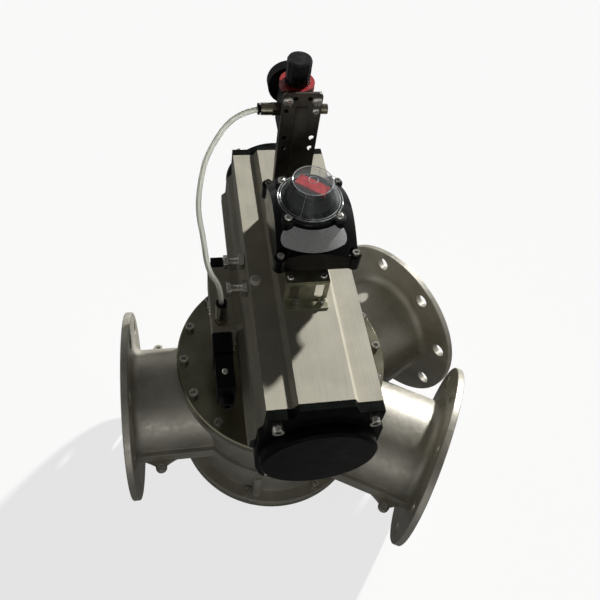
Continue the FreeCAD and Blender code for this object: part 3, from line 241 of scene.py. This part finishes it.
finishes = {
    # stainless casting, bead-blasted: a soft dark satin with fine grit, stains and bright rubs
    "blastedStainless": {
        "nodes": ["body"],
        "patterns": {
            "stain": {"sizeMm": 46, "detail": 3.0}, "cloud": {"sizeMm": 7, "detail": 3.0},
            "grit": {"sizeMm": 0.9},
        },
        "colour": "#a09c90",
        "tones": [
            {"by": "stain", "colour": "#bcb8ac"},
            {"by": "cloud", "colour": "#c9c5b9", "amount": 0.4, "span": (0.56, 0.74)},
        ],
        "changes": {"Roughness": {"by": "cloud", "low": 0.38, "high": 0.54}},
        "relief": {"by": "grit", "depthMm": 0.1, "edgeMm": 1.4},
        "shader": {"Metallic": 0.5, "Roughness": 0.44},
    },

    # stainless plate faced on a lathe: fine rings about the plug's axis, oiled and dark
    "turnedStainless": {
        "nodes": ["top_cover", "bottom_cover", "plug"],
        "patterns": {
            "rings": {"ringMm": 2.4, "wander": 0.4, "detail": 1.0},
            "stain": {"sizeMm": 38, "detail": 4.0},
        },
        "colour": "#6f6c56",
        "tones": [{"by": "stain", "colour": "#8b8874"}],
        "changes": {"Roughness": {"by": "stain", "low": 0.14, "high": 0.26}},
        "relief": {"by": "rings", "depthMm": 0.008, "edgeMm": 0.8},
        "shader": {"Metallic": 0.7, "Roughness": 0.2},
    },

    # folded stainless sheet, brushed along its length: a dark satin with faint streaks
    "sheetStainless": {
        "nodes": ["mount_bracket", "supply_plate"],
        "patterns": {
            "brushed": {"sizeMm": 0.8, "stretch": (1, 1, 0.03)},
            "stain": {"sizeMm": 22, "detail": 3.0},
        },
        "colour": "#4a4740",
        "tones": [
            {"by": "stain", "colour": "#6b675c"},
            {"by": "brushed", "colour": "#8a867b", "amount": 0.16, "span": (0.5, 0.8)},
        ],
        "changes": {"Roughness": {"by": "brushed", "low": 0.3, "high": 0.4}},
        "relief": {"by": "brushed", "depthMm": 0.006, "edgeMm": 0.5},
        "shader": {"Metallic": 0.7, "Roughness": 0.3},
    },

    # folded steel, zinc plated and passivated: a soft olive grey with faint bloom
    "zincPlate": {
        "nodes": ["switch_feet", "switch_plate"],
        "patterns": {
            "bloom": {"sizeMm": 9, "detail": 3.0},
            "grain": {"sizeMm": 0.8, "stretch": (1, 0.05, 1)},
        },
        "colour": "#8c8a72",
        "tones": [{"by": "bloom", "colour": "#a6a48b"}],
        "changes": {"Roughness": {"by": "bloom", "low": 0.28, "high": 0.44}},
        "relief": {"by": "grain", "depthMm": 0.02, "edgeMm": 0.6},
        "shader": {"Metallic": 0.35, "Roughness": 0.36},
    },

    # extruded aluminium, hard anodised: a matte warm grey with fine die lines and speckle
    "hardAnodised": {
        "nodes": ["actuator_body", "valve_body"],
        "patterns": {
            "speckle": {"sizeMm": 0.9}, "dieLines": {"sizeMm": 1.4, "stretch": (1, 0.02, 1)},
            "stain": {"sizeMm": 35},
        },
        "colour": "#a8a392",
        "tones": [
            {"by": "stain", "colour": "#b9b4a2"},
            {"by": "speckle", "colour": "#7d796b", "amount": 0.55, "span": (0.58, 0.7)},
            {"by": "dieLines", "colour": "#c9c4b3", "amount": 0.25},
        ],
        "changes": {"Roughness": {"by": "speckle", "low": 0.44, "high": 0.58}},
        "relief": {"by": "speckle", "depthMm": 0.05, "edgeMm": 0.5},
        "shader": {"Roughness": 0.5, "Specular IOR Level": 0.3},
    },

    # turned and polished stainless screws: bright, with sharp glints and fine scratches
    "brightSteel": {
        "nodes": ["cover_screws", "bracket_screws", "cap_screws", "small_screws", "pan_screws",
                  "dome_screws", "stop_bolt_front", "stop_bolt_rear", "stop_nuts",
                  "purge_plugs", "pinion", "gauge_needle"],
        "patterns": {"scratch": {"sizeMm": 2.4, "detail": 3.0}},
        "colour": "#9d9a91",
        "tones": [{"by": "scratch", "colour": "#cbc8bf"}],
        "changes": {"Roughness": {"by": "scratch", "low": 0.14, "high": 0.3}},
        "relief": {"by": "scratch", "depthMm": 0.006, "edgeMm": 0.35},
        "shader": {"Metallic": 0.85, "Roughness": 0.22},
    },

    # die-cast aluminium pistons, as cast and wiped with grease: an uneven dull grey
    "castAluminium": {
        "nodes": ["front_piston", "rear_piston"],
        "patterns": {"skin": {"sizeMm": 2.5, "detail": 3.0}},
        "colour": "#8d8d8b",
        "tones": [{"by": "skin", "colour": "#b4b4b1"}],
        "changes": {"Roughness": {"by": "skin", "low": 0.3, "high": 0.5}},
        "relief": {"by": "skin", "depthMm": 0.05, "edgeMm": 0.5},
        "shader": {"Metallic": 0.8, "Roughness": 0.4},
    },

    # aluminium die casting, powder coated black: satin with orange peel and a film of dust
    "powderCoat": {
        "nodes": ["front_cap", "rear_cap"],
        "patterns": {
            "peel": {"sizeMm": 1.8, "detail": 1.0}, "dust": {"sizeMm": 16, "detail": 4.0},
        },
        "colour": "#090b09",
        "tones": [{"by": "dust", "colour": "#131613"}],
        "changes": {"Roughness": {"by": "dust", "low": 0.3, "high": 0.46}},
        "relief": {"by": "peel", "depthMm": 0.05, "edgeMm": 0.8},
        "shader": {"Roughness": 0.38, "Specular IOR Level": 0.04},
    },

    # die-cast switch box, stoved black enamel: glossy, slightly wavy
    "blackEnamel": {
        "nodes": ["switch_base", "switch_lid"],
        "patterns": {
            "peel": {"sizeMm": 2.4, "detail": 1.0}, "smear": {"sizeMm": 12, "detail": 3.0},
        },
        "colour": "#040404",
        "tones": [{"by": "smear", "colour": "#0b0c0c"}],
        "changes": {"Roughness": {"by": "smear", "low": 0.1, "high": 0.22}},
        "relief": {"by": "peel", "depthMm": 0.03, "edgeMm": 1.0},
        "shader": {"Roughness": 0.16, "Specular IOR Level": 0.1},
    },

    # glass-filled nylon mouldings, spark-textured and faintly dusty
    "blackNylon": {
        "nodes": ["pilot_cap", "coil", "connector", "regulator_body", "bonnet", "gauge_case",
                  "valve_collar", "supply_collar", "override_button", "switch_spindle",
                  "micro_switches", "bowl"],
        "patterns": {"spark": {"sizeMm": 0.8}, "dust": {"sizeMm": 8, "detail": 4.0}},
        "colour": "#060606",
        "tones": [{"by": "dust", "colour": "#121212"}],
        "changes": {"Roughness": {"by": "spark", "low": 0.42, "high": 0.6}},
        "relief": {"by": "spark", "depthMm": 0.05, "edgeMm": 0.4},
        "shader": {"Roughness": 0.5, "Specular IOR Level": 0.1},
    },

    # moulded nylon knob, polished by hands on its ribs
    "knobNylon": {
        "nodes": ["knob"],
        "patterns": {"smear": {"sizeMm": 5, "detail": 4.0}},
        "colour": "#060505",
        "tones": [{"by": "smear", "colour": "#14100f"}],
        "changes": {"Roughness": {"by": "smear", "low": 0.14, "high": 0.32}},
        "relief": {"by": "smear", "depthMm": 0.05, "edgeMm": 0.5},
        "shader": {"Roughness": 0.22, "Specular IOR Level": 0.3},
    },

    # moulded acetal lock ring: semi-gloss red
    "redAcetal": {
        "nodes": ["lock_ring"],
        "patterns": {"flow": {"sizeMm": 6, "detail": 3.0}},
        "colour": "#8a1015",
        "tones": [{"by": "flow", "colour": "#b32226"}],
        "changes": {"Roughness": {"by": "flow", "low": 0.26, "high": 0.4}},
        "relief": {"by": "flow", "depthMm": 0.04, "edgeMm": 0.4},
        "shader": {"Roughness": 0.32},
    },

    # moulded indicator, painted: black skirt, red top face
    "indicatorPaint": {
        "nodes": ["indicator"],
        "patterns": {"flow": {"sizeMm": 4, "detail": 3.0}, "skirt": {"below": 0.4552}},
        "colour": "#a8121d",
        "tones": [
            {"by": "flow", "colour": "#c6232e"},
            {"by": "skirt", "colour": "#070707", "span": (0.0, 1.0)},
        ],
        "changes": {"Roughness": {"by": "flow", "low": 0.34, "high": 0.46}},
        "relief": {"by": "flow", "depthMm": 0.03, "edgeMm": 0.4},
        "shader": {"Roughness": 0.4, "Specular IOR Level": 0.15},
    },

    # injection-moulded polycarbonate: clear, thin-walled, bright where it is seen edge-on
    "clearPolycarbonate": {
        "nodes": ["switch_dome", "gauge_glass"],
        "patterns": {"haze": {"sizeMm": 7, "detail": 3.0}, "edge": {"facing": 0.3}},
        "colour": "#c9cfcf",
        "changes": {
            "Roughness": {"by": "haze", "low": 0.03, "high": 0.09},
            "Alpha": {"by": "edge", "low": 0.07, "high": 0.7, "span": (0.4, 1.0)},
        },
        "shader": {"Roughness": 0.05, "Alpha": 0.1, "IOR": 1.585},
    },

    # nickel-plated brass: bright, slightly yellow, with faint pits
    "nickelPlate": {
        "nodes": ["push_fittings", "supply_plug"],
        "patterns": {"pits": {"sizeMm": 1.6}},
        "colour": "#6f6a5a",
        "tones": [{"by": "pits", "colour": "#a39d8a"}],
        "changes": {"Roughness": {"by": "pits", "low": 0.12, "high": 0.26}},
        "relief": {"by": "pits", "depthMm": 0.006, "edgeMm": 0.3},
        "shader": {"Metallic": 0.9, "Roughness": 0.18},
    },

    # moulded acetal plug and cams: off-white, semi-matte
    "creamAcetal": {
        "nodes": ["port_plug", "switch_cams"],
        "patterns": {"flow": {"sizeMm": 5, "detail": 3.0}},
        "colour": "#cfccc0",
        "tones": [{"by": "flow", "colour": "#e6e3d8"}],
        "relief": {"by": "flow", "depthMm": 0.03, "edgeMm": 0.5},
        "shader": {"Roughness": 0.42},
    },

    # skived PTFE bushes and seals: waxy white
    "ptfe": {
        "nodes": ["window_seals", "plug_bushes", "thrust_washer", "pinion_bearings"],
        "patterns": {"flow": {"sizeMm": 6}},
        "colour": "#d8d8d2",
        "tones": [{"by": "flow", "colour": "#ecece7"}],
        "relief": {"by": "flow", "depthMm": 0.02, "edgeMm": 0.3},
        "shader": {"Roughness": 0.5},
    },

    # moulded nitrile rubber: dull black with a faint bloom
    "nitrile": {
        "nodes": ["seal_rings", "plug_rings", "front_piston_rings", "rear_piston_rings",
                  "cap_gaskets"],
        "patterns": {"bloom": {"sizeMm": 4, "detail": 3.0}},
        "colour": "#131313",
        "tones": [{"by": "bloom", "colour": "#242423"}],
        "relief": {"by": "bloom", "depthMm": 0.04, "edgeMm": 0.3},
        "shader": {"Roughness": 0.7},
    },

    # bare aluminium name plate: satin, lightly brushed across
    "platedLabel": {
        "nodes": ["label_plate"],
        "patterns": {"brushed": {"sizeMm": 0.7, "stretch": (0.04, 1, 1)}},
        "colour": "#a3a3a2",
        "tones": [{"by": "brushed", "colour": "#bdbdbc"}],
        "changes": {"Roughness": {"by": "brushed", "low": 0.3, "high": 0.44}},
        "relief": {"by": "brushed", "depthMm": 0.01, "edgeMm": 0.2},
        "shader": {"Metallic": 0.6, "Roughness": 0.36},
    },

    # polished edges and mould lines of the clear dome: real beads, coloured pale and half-opaque
    # as painted highlights along them
    "paintedEdgeHighlight": {
        "patterns": {"haze": {"sizeMm": 5, "detail": 3.0}},
        "colour": "#b9bdbc",
        "tones": [{"by": "haze", "colour": "#e4e7e6"}],
        "changes": {"Alpha": {"by": "haze", "low": 0.35, "high": 0.7}},
        "shader": {"Roughness": 0.12, "Alpha": 0.55, "IOR": 1.585},
    },

    # dial plate, stoved white enamel: flat and even
    "dialEnamel": {
        "patterns": {"flow": {"sizeMm": 7}},
        "colour": "#dadad5",
        "tones": [{"by": "flow", "colour": "#e6e6e2"}],
        "shader": {"Roughness": 0.4},
    },

    # screen-printed ticks and figures: flat black ink
    "dialInk": {
        "patterns": {"flow": {"sizeMm": 1.5}},
        "colour": "#141414",
        "tones": [{"by": "flow", "colour": "#202020"}],
        "shader": {"Roughness": 0.5},
    },
}


def dressNodes():
    made = {}
    for name, finish in finishes.items():
        made[name] = makeFinish(name, finish)
        for node in finish.get("nodes", ()):
            mesh = nodes[node].data
            mesh.materials.clear()
            mesh.materials.append(made[name])
    return made


made = dressNodes()
print("finishes on", len(nodes), "nodes")


# detail pieces

mergeWithin = 0.002                # mm


def spinProfile(profile, steps):
    # profile is (along, radius) in mm, spun about Z
    build = bmesh.new()
    spots = [build.verts.new((radius * mm, 0, along * mm)) for along, radius in profile]
    for first, second in zip(spots, spots[1:]):
        build.edges.new((first, second))
    bmesh.ops.spin(build, geom=build.verts[:] + build.edges[:], cent=(0, 0, 0), axis=(0, 0, 1),
                   angle=math.tau, steps=steps, use_merge=True)
    bmesh.ops.remove_doubles(build, verts=build.verts, dist=mergeWithin * mm)
    return build


def settle(build, start, towards):
    # moves a piece made along Z to start there, in mm, and point that way
    turn = Vector(towards).to_track_quat("Z", "Y").to_matrix().to_4x4()
    place = Matrix.Translation(Vector(start) * mm)
    bmesh.ops.transform(build, matrix=place @ turn, verts=build.verts)
    return build


def lathe(profile, steps, start, towards):
    build = spinProfile(profile, steps)
    bmesh.ops.recalc_face_normals(build, faces=build.faces)
    return settle(build, start, towards)


def finishPiece(name, shapes, body, material, replaced=()):
    whole = bmesh.new()
    for shape in shapes:
        part = bpy.data.meshes.new("part")
        shape.to_mesh(part)
        shape.free()
        whole.from_mesh(part)
        bpy.data.meshes.remove(part)
    mesh = bpy.data.meshes.new(name)
    whole.to_mesh(mesh)
    whole.free()
    mesh.materials.append(material)
    piece = placeObject(name, mesh)
    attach(piece, body)
    if replaced:
        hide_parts(*replaced)


stopBolts = {
    "pieces": {                    # body: piece, and its place along Y in mm
        "stop_bolt_front": ("stopBoltFront", -20.0),
        "stop_bolt_rear": ("stopBoltRear", 20.0),
    },
    "height": 315.0,
    "headStart": -86.0,
    "headThickness": 5.0,
    "acrossFlats": 15.0,
    "headRound": 0.55,
    "sunk": 0.2,                   # how deep the shank starts inside the head
    "threadGap": 0.6,              # plain shank before the thread
    "threadLength": 48.0,
    "pitch": 1.5,
    "crest": 5.0,
    "root": 4.35,
    "length": 63.7,
    "tip": [(7.5, 4.4), (4.4, 4.2), (1.8, 3.4), (0.5, 1.8), (0, 0)],   # before the end, and radius
    "steps": 32,
}


def stopBoltHead():
    thick = stopBolts["headThickness"] * mm
    reach = stopBolts["acrossFlats"] / math.sqrt(3) * mm
    hexagon = bmesh.new()
    bmesh.ops.create_cone(hexagon, cap_ends=True, segments=6, radius1=reach, radius2=reach,
                          depth=thick)
    bmesh.ops.translate(hexagon, verts=hexagon.verts, vec=(0, 0, thick / 2))
    bmesh.ops.bevel(hexagon, geom=hexagon.edges[:], offset=stopBolts["headRound"] * mm,
                    affect="EDGES", segments=2, profile=0.5, material=-1)
    return hexagon


def stopBoltProfile():
    head, pitch, length = (stopBolts[key] for key in ("headThickness", "pitch", "length"))
    base = head - stopBolts["sunk"]
    profile = [(base, 0), (base, stopBolts["crest"])]
    for turnNumber in range(int(stopBolts["threadLength"] / pitch)):
        along = head + stopBolts["threadGap"] + turnNumber * pitch
        profile += [(along, stopBolts["crest"]), (along + pitch / 2, stopBolts["root"])]
    return profile + [(length - before, radius) for before, radius in stopBolts["tip"]]


def makeStopBolts(material):
    for body, (name, across) in stopBolts["pieces"].items():
        start = (stopBolts["headStart"], across, stopBolts["height"])
        head = settle(stopBoltHead(), start, (1, 0, 0))
        shank = lathe(stopBoltProfile(), stopBolts["steps"], start, (1, 0, 0))
        finishPiece(name, [head, shank], body, material, [body])


crossScrews = {
    "steps": 32,                   # round the head, two to each arm of the recess
    "shankLength": 6,              # mm
    "headCurve": [(0, 1), (0.3, 1), (0.62, 0.9), (0.86, 0.7)],   # shares of height and radius
    "rim": 0.96,                   # shares of the head's height: where the recess starts,
    "crown": 0.9,                  # what lies above this may sink,
    "depth": 0.45,                 # and how far it sinks
    "recess": 0.52,                # shares of the head's radius
    "hub": 0.16,
    "armHalf": 11,                 # degrees
    "supply": [                    # seat, direction, head radius, head height, shank radius
        ((-18.5, 76, 501), (0, -1, 0), 5.6, 3.0, 2.0),
        ((11.5, 76, 501), (0, -1, 0), 5.6, 3.0, 2.0),
        ((11.5, 76, 489), (0, -1, 0), 4.0, 2.4, 2.0),
    ],
    "plate": [((x, y, 374), (0, 0, 1), 4.0, 2.4, 2.0) for x in (-21, 15) for y in (-52, 52)],
    "connector": [((-93.5, -106, 276), (0, 0, 1), 4.0, 2.4, 1.5)],
    "dome": [((x, y, 439), (0, 0, 1), 4.3, 3.0, 1.5)
             for x in (-26.5, 26.5) for y in (-26.5, 26.5)],
}


def crossScrew(seat, towards, radius, height, shank):
    # domed head with a cross recess pushed into its crown
    below, recess, hub = -crossScrews["shankLength"], crossScrews["recess"], crossScrews["hub"]
    head = crossScrews["headCurve"] + [(crossScrews["rim"], recess), (1, hub), (1, 0)]
    profile = [(below, 0), (below, shank), (0, shank)]
    profile += [(height * up, radius * out) for up, out in head]
    build = spinProfile(profile, crossScrews["steps"])
    crown = []
    for face in build.faces:
        centre = face.calc_center_median()
        out = math.hypot(centre.x, centre.y) / (radius * mm)
        turn = math.degrees(math.atan2(centre.y, centre.x))
        offArm = abs((turn + 45) % 90 - 45)        # from the nearest of the four arms
        inCross = out < recess and (out < hub or offArm < crossScrews["armHalf"])
        if inCross and centre.z > height * crossScrews["crown"] * mm:
            crown.append(face)
    pushed = bmesh.ops.extrude_face_region(build, geom=crown)
    bmesh.ops.delete(build, geom=crown, context="FACES_ONLY")
    floor = [item for item in pushed["geom"] if isinstance(item, bmesh.types.BMVert)]
    bmesh.ops.translate(build, verts=floor, vec=(0, 0, -height * crossScrews["depth"] * mm))
    bmesh.ops.recalc_face_normals(build, faces=build.faces)
    return settle(build, seat, towards)


def makeCrossScrews(material):
    pans = crossScrews["supply"] + crossScrews["plate"] + crossScrews["connector"]
    for name, screws, replaced in (("crossPanScrews", pans, "pan_screws"),
                                   ("crossDomeScrews", crossScrews["dome"], "dome_screws")):
        finishPiece(name, [crossScrew(*screw) for screw in screws], "valve",
                    material, [replaced])


# beads and thin lines on the clear dome, whose pale colour is a painted highlight on its rims and
# mould lines
domeEdgeHighlights = {
    "rings": [                     # radius, height and bead radius, mm
        (34.1, 440.1, 0.5), (31.6, 440.3, 0.5), (20.9, 463.8, 0.55), (4.8, 464.8, 0.4),
    ],
    "lineFoot": (31.4, 440.6),     # radius and height where a mould line starts
    "lineTop": (21.4, 463.4),
    "lineTurns": (-118, -28, 62, 152),
    "lineWidth": 0.5,
    "stepsAround": 72,
    "stepsSection": 8,
}


def makeDomeEdges(material):
    shapes = []
    section = domeEdgeHighlights["stepsSection"]
    for radius, height, bead in domeEdgeHighlights["rings"]:
        turns = [k * math.tau / section for k in range(section + 1)]
        loop = [(height + bead * math.sin(t), radius + bead * math.cos(t)) for t in turns]
        shapes.append(lathe(loop, domeEdgeHighlights["stepsAround"], (0, 0, 0), (0, 0, 1)))
    half = domeEdgeHighlights["lineWidth"] / 2 * mm
    for turn in domeEdgeHighlights["lineTurns"]:
        out = fromAngles(turn, 0)
        foot, top = (out * radius + Vector((0, 0, height))
                     for radius, height in (domeEdgeHighlights["lineFoot"], domeEdgeHighlights["lineTop"]))
        rod = bmesh.new()
        bmesh.ops.create_cone(rod, cap_ends=True, segments=section, radius1=half, radius2=half,
                              depth=(top - foot).length * mm)
        shapes.append(settle(rod, (foot + top) / 2, top - foot))
    finishPiece("domeEdgeHighlights", shapes, "valve", material)


gaugeDial = {
    "centre": (-8.5, 132.05, 482.0),   # mm, on the floor of the gauge's case
    "radius": 20.3,
    "thickness": 0.5,
    "steps": 96,
    "zeroAngle": 225.0,            # degrees, at the lower left
    "sweep": 270.0,
    "divisions": 50,
    "ticks": {10: (3.4, 0.5), 5: (2.4, 0.5), 1: (1.5, 0.25)},   # every so many: length, width
    "ticksEnd": 18.8,
    "numbers": [0, 2, 4, 6, 8, 10],
    "numberSize": 4.4,
    "numberRadius": 12.2,
    "ink": 0.1,                    # thickness of ticks and numbers
}


def dialSpot(share, radius):
    angle = math.radians(gaugeDial["zeroAngle"] - gaugeDial["sweep"] * share)
    x, y, z = gaugeDial["centre"]
    spot = Vector((x - radius * math.cos(angle), y + gaugeDial["thickness"],
                   z + radius * math.sin(angle)))
    return spot * mm, angle


def dialTick(number):
    long, wide = next(size for step, size in gaugeDial["ticks"].items() if number % step == 0)
    spot, angle = dialSpot(number / gaugeDial["divisions"], gaugeDial["ticksEnd"] - long / 2)
    tick = bmesh.new()
    bmesh.ops.create_cube(tick, size=1.0)
    bmesh.ops.scale(tick, vec=Vector((long, gaugeDial["ink"], wide)) * mm, verts=tick.verts)
    bmesh.ops.rotate(tick, cent=(0, 0, 0), verts=tick.verts,
                     matrix=Matrix.Rotation(math.pi + angle, 3, "Y"))
    bmesh.ops.translate(tick, verts=tick.verts, vec=spot)
    return tick


def dialNumber(number):
    words = bpy.data.curves.new("number", "FONT")
    words.body = str(number)
    words.size = gaugeDial["numberSize"] * mm
    words.extrude = gaugeDial["ink"] / 2 * mm
    words.align_x = "CENTER"
    words.align_y = "CENTER"
    holder = placeObject("number", words)
    flat = bpy.data.meshes.new_from_object(holder)
    bpy.data.objects.remove(holder)
    bpy.data.curves.remove(words)
    figure = bmesh.new()
    figure.from_mesh(flat)
    bpy.data.meshes.remove(flat)
    spot, angle = dialSpot(number / max(gaugeDial["numbers"]), gaugeDial["numberRadius"])
    facing = Matrix(((-1, 0, 0), (0, 0, 1), (0, 1, 0))).to_4x4()     # reads from the far side
    bmesh.ops.transform(figure, matrix=Matrix.Translation(spot) @ facing, verts=figure.verts)
    return figure


def makeGaugeDial(plateMaterial, inkMaterial):
    plate = bmesh.new()
    radius, thick = gaugeDial["radius"] * mm, gaugeDial["thickness"] * mm
    bmesh.ops.create_cone(plate, cap_ends=True, segments=gaugeDial["steps"], radius1=radius,
                          radius2=radius, depth=thick)
    bmesh.ops.translate(plate, verts=plate.verts, vec=(0, 0, thick / 2))
    plate = settle(plate, gaugeDial["centre"], (0, 1, 0))
    finishPiece("gaugeDial", [plate], "valve", plateMaterial)
    marks = [dialTick(number) for number in range(gaugeDial["divisions"] + 1)]
    marks += [dialNumber(number) for number in gaugeDial["numbers"]]
    finishPiece("gaugeMarks", marks, "valve", inkMaterial)


makeStopBolts(made["brightSteel"])
makeCrossScrews(made["brightSteel"])
makeDomeEdges(made["paintedEdgeHighlight"])
makeGaugeDial(made["dialEnamel"], made["dialInk"])
print("detail pieces made")


# floor, world and lamps

studio = {
    "floorHeight": -0.1425,        # metres
    "floorSize": 12.0,
    "floorSeen": "#f4f4f1",
    "floorUnseen": "#636361",      # throws little light back up
    "floorGlow": 0.76,             # share of plain white that the camera sees in the floor
    "floorGloss": 0.12,            # and that metal sees in it
    "fill": 0.05,                  # world strength for diffuse light
    "horizon": 0.8,                # what metal and glass reflect from the side
    "overhead": 0.14,              # and from straight above
    "horizonEnds": 0.1,            # height of a direction, 0 level and 1 straight up
    "overheadStarts": 0.8,
    "key": {"azimuth": 46, "elevation": 28, "energy": 5.4},     # degrees, as the shadows fall
    "keyWidth": 3,                 # sun's width in degrees
    "soft": {"azimuth": -97, "elevation": 9, "energy": 12.0, "distance": 4.0},
    "softSize": 1.8,
}


def seenShare(tree, eye, gloss):
    # how much of a ray sees the white background: camera and glass rays, then rays off metal
    rays = addNode(tree, "ShaderNodeLightPath").outputs
    clear = addNode(tree, "ShaderNodeMath", {
        0: rays["Is Camera Ray"], 1: rays["Is Transmission Ray"],
    }, operation="MAXIMUM").outputs["Value"]
    direct = addNode(tree, "ShaderNodeMath", {0: clear, 1: eye}, operation="MULTIPLY")
    return addNode(tree, "ShaderNodeMath", {
        0: rays["Is Glossy Ray"], 1: gloss, 2: direct.outputs["Value"],
    }, operation="MULTIPLY_ADD").outputs["Value"]


def makeFloor():
    floor = bpy.data.meshes.new("floor")
    build = bmesh.new()
    bmesh.ops.create_grid(build, x_segments=1, y_segments=1, size=studio["floorSize"] / 2)
    bmesh.ops.translate(build, verts=build.verts, vec=(0, 0, studio["floorHeight"]))
    build.to_mesh(floor)
    build.free()
    holder = placeObject("floor", floor)
    material = bpy.data.materials.new("paleFloor")
    tree = emptyTree(material)
    paper = addNode(tree, "ShaderNodeMix", {
        "Factor": addNode(tree, "ShaderNodeLightPath").outputs["Is Camera Ray"],
        6: linearColour(studio["floorUnseen"]), 7: linearColour(studio["floorSeen"]),
    }, data_type="RGBA").outputs[2]
    matte = addNode(tree, "ShaderNodeBsdfDiffuse", {"Color": paper})
    glow = addNode(tree, "ShaderNodeEmission", {"Color": (1, 1, 1, 1), "Strength": 1.0})
    mixed = addNode(tree, "ShaderNodeMixShader", {
        0: seenShare(tree, studio["floorGlow"], studio["floorGloss"]),
        1: matte.outputs["BSDF"], 2: glow.outputs["Emission"],
    })
    addNode(tree, "ShaderNodeOutputMaterial", {"Surface": mixed.outputs["Shader"]})
    floor.materials.append(material)


def makeWorld():
    world = bpy.data.worlds.new("studio")
    bpy.context.scene.world = world
    tree = emptyTree(world)
    direction = addNode(tree, "ShaderNodeTexCoord").outputs["Generated"]
    backdrop = addNode(tree, "ShaderNodeMapRange", {
        "Value": addNode(tree, "ShaderNodeSeparateXYZ", {"Vector": direction}).outputs["Z"],
        "From Min": studio["horizonEnds"], "From Max": studio["overheadStarts"],
        "To Min": studio["horizon"], "To Max": studio["overhead"],
    })
    lit = addNode(tree, "ShaderNodeMapRange", {
        "Value": addNode(tree, "ShaderNodeLightPath").outputs["Is Glossy Ray"],
        "To Min": studio["fill"], "To Max": backdrop.outputs["Result"],
    })
    strength = addNode(tree, "ShaderNodeMath", {
        0: lit.outputs["Result"], 1: seenShare(tree, 1.0, 0.0),
    }, operation="MAXIMUM")
    sky = addNode(tree, "ShaderNodeBackground", {
        "Color": (1, 1, 1, 1), "Strength": strength.outputs["Value"],
    })
    addNode(tree, "ShaderNodeOutputWorld", {"Surface": sky.outputs["Background"]})


def makeLamp(name, kind, azimuth, elevation, energy, distance=0.0):
    light = bpy.data.lights.new(name, kind)
    light.energy = energy
    source = fromAngles(azimuth, elevation)
    lamp = placeObject(name, light)
    lamp.location = source * distance
    lamp.rotation_euler = source.to_track_quat("Z", "Y").to_euler()
    return light


def makeStudio():
    makeFloor()
    makeWorld()
    makeLamp("key", "SUN", **studio["key"]).angle = math.radians(studio["keyWidth"])
    soft = makeLamp("soft", "AREA", **studio["soft"])
    soft.shape = "DISK"
    soft.size = studio["softSize"]
    bpy.context.scene.view_settings.view_transform = "Standard"


makeStudio()
print("studio lit")
